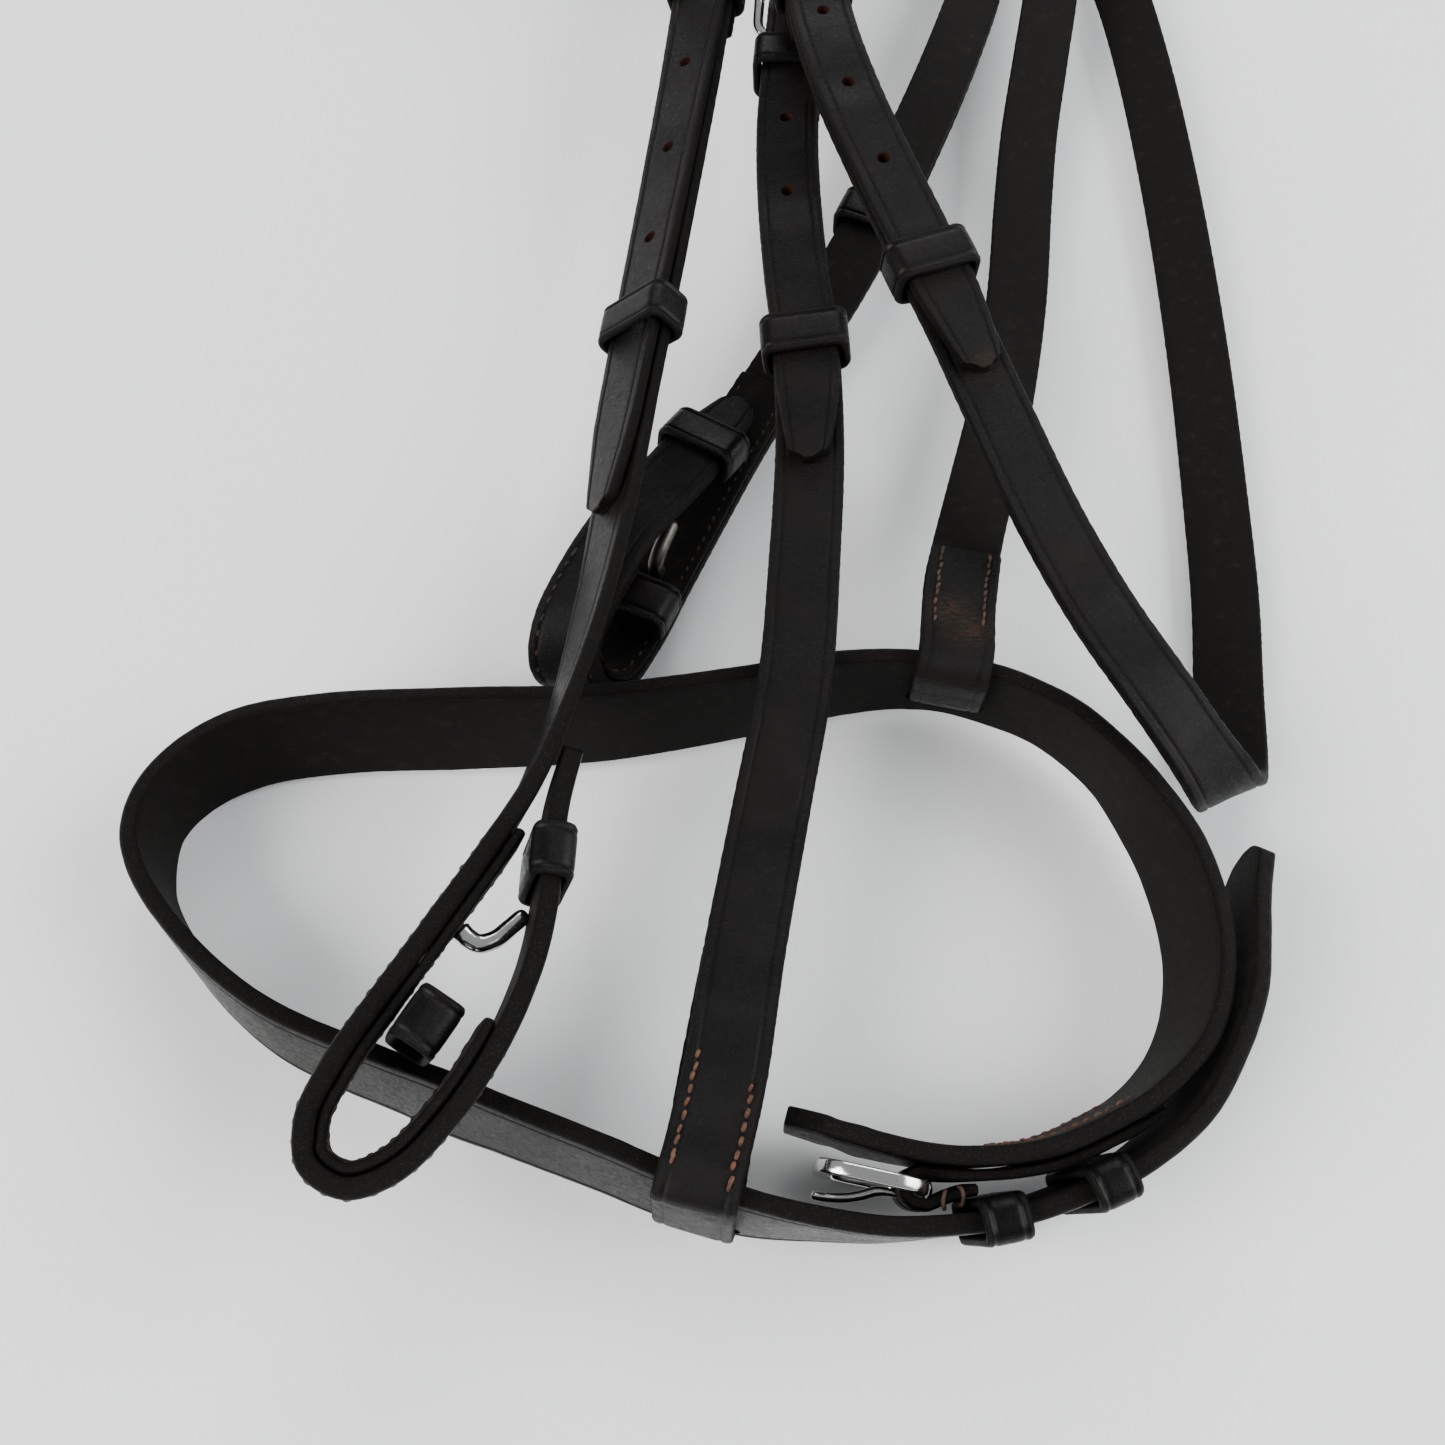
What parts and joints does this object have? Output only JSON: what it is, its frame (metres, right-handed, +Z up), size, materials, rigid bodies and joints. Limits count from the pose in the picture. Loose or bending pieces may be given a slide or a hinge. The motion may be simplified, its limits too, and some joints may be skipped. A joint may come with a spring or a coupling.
{
  "type": "snaffle bridle",
  "caption": "Flat leather bridle for a riding horse, with headpiece, throatlash, browband, cavesson noseband and hook-stud cheekpieces, laid down folded on its right side.",
  "frame": {"origin": "centre of the footprint, at the height of the surface it lies on", "axes": "+Z up from the surface, +Y from the noseband towards the crown, +X towards the throatlash"},
  "size_m": [0.2612, 0.5049, 0.0623],
  "materials": {
    "strap_leather": "dark brown to black bridle leather, satin grain side with pressed crease lines, matt brown cut edges and flesh side",
    "keeper_leather": "smooth black leather, a little glossier than the straps",
    "nickel_hardware": "polished nickel plate with fine wear",
    "thread": "waxed tan thread, worn"
  },
  "bodies": {
    "bridle": {"browband": "strap_leather", "headpiece_and_throatlash": "strap_leather", "left_cheek_buckle": "nickel_hardware", "left_cheek_fixed_keeper": "keeper_leather", "left_cheek_lining": "strap_leather", "left_cheek_lower_keeper": "keeper_leather", "left_cheek_upper_keeper": "keeper_leather", "left_cheekpiece": "strap_leather", "left_hook_stud": "nickel_hardware", "left_noseband_cheek": "strap_leather", "left_noseband_cheek_buckle": "nickel_hardware", "left_noseband_cheek_fixed_keeper": "keeper_leather", "noseband": "strap_leather", "noseband_chape": "strap_leather", "noseband_headstall": "strap_leather", "noseband_keeper_far": "keeper_leather", "noseband_keeper_near_buckle": "nickel_hardware", "right_cheek_buckle": "nickel_hardware", "right_cheek_fixed_keeper": "keeper_leather", "right_cheek_lining": "strap_leather", "right_cheek_lower_keeper": "keeper_leather", "right_cheek_upper_keeper": "keeper_leather", "right_cheekpiece": "strap_leather", "right_hook_stud": "nickel_hardware", "throatlash_buckle": "nickel_hardware", "throatlash_fixed_keeper": "keeper_leather"},
    "left_cheek_tongue": {"left_cheek_buckle_tongue": "nickel_hardware"},
    "left_cheek_runner_body": {"left_cheek_runner": "keeper_leather"},
    "left_noseband_cheek_tongue": {"left_noseband_cheek_buckle_tongue": "nickel_hardware"},
    "left_noseband_cheek_runner_body": {"left_noseband_cheek_runner": "keeper_leather"},
    "noseband_buckle_body": {"noseband_buckle": "nickel_hardware"},
    "noseband_tongue": {"noseband_buckle_tongue": "nickel_hardware"},
    "right_cheek_tongue": {"right_cheek_buckle_tongue": "nickel_hardware"},
    "right_cheek_runner_body": {"right_cheek_runner": "keeper_leather"},
    "throatlash_tongue": {"throatlash_buckle_tongue": "nickel_hardware"},
    "throatlash_runner_body": {"throatlash_runner": "keeper_leather"}
  },
  "joints": [
    {"name": "left_cheek_tongue_lift", "type": "hinge", "parent": "bridle", "child": "left_cheek_tongue", "pos_m": [-0.00712, 0.0912, 0.03937], "axis": [0.9751, -0.0976, 0.1991], "range_deg": [0, 12]},
    {"name": "right_cheek_tongue_lift", "type": "hinge", "parent": "bridle", "child": "right_cheek_tongue", "pos_m": [0.08101, 0.1694, 0.01319], "axis": [-0.9946, 0.1034, -0.0025], "range_deg": [0, 3.5]},
    {"name": "throatlash_tongue_lift", "type": "hinge", "parent": "bridle", "child": "throatlash_tongue", "pos_m": [0.019, 0.0772, 0.0516], "axis": [1, -0.0002, 0], "range_deg": [0, 12]},
    {"name": "left_noseband_cheek_tongue_lift", "type": "hinge", "parent": "bridle", "child": "left_noseband_cheek_tongue", "pos_m": [0.015, 0.0642, 0.0356], "axis": [0.9971, -0.076, 0], "range_deg": [0, 6]},
    {"name": "noseband_buckle_swing", "type": "hinge", "parent": "bridle", "child": "noseband_buckle_body", "pos_m": [0.0317, -0.23997, 0.01576], "axis": [-0.0222, -0.1508, 0.9883], "range_deg": [-8, 3]},
    {"name": "noseband_tongue_swing", "type": "hinge", "parent": "noseband_buckle_body", "child": "noseband_tongue", "pos_m": [0.0317, -0.23997, 0.01576], "axis": [-0.0222, -0.1508, 0.9883], "range_deg": [-4, 3]},
    {"name": "left_cheek_runner_slide", "type": "slide", "parent": "bridle", "child": "left_cheek_runner_body", "axis": [0.1216, 0.9925, 0.0117], "range_m": [-0.01, 0.01]},
    {"name": "right_cheek_runner_slide", "type": "slide", "parent": "bridle", "child": "right_cheek_runner_body", "axis": [0.4097, 0.9091, 0.0754], "range_m": [-0.01, 0.01]},
    {"name": "throatlash_runner_slide", "type": "slide", "parent": "bridle", "child": "throatlash_runner_body", "axis": [-0.3404, 0.9345, 0.1047], "range_m": [-0.01, 0.01]},
    {"name": "left_noseband_cheek_runner_slide", "type": "slide", "parent": "bridle", "child": "left_noseband_cheek_runner_body", "axis": [-0.0472, 0.9967, 0.0658], "range_m": [-0.01, 0.01]}
  ]
}
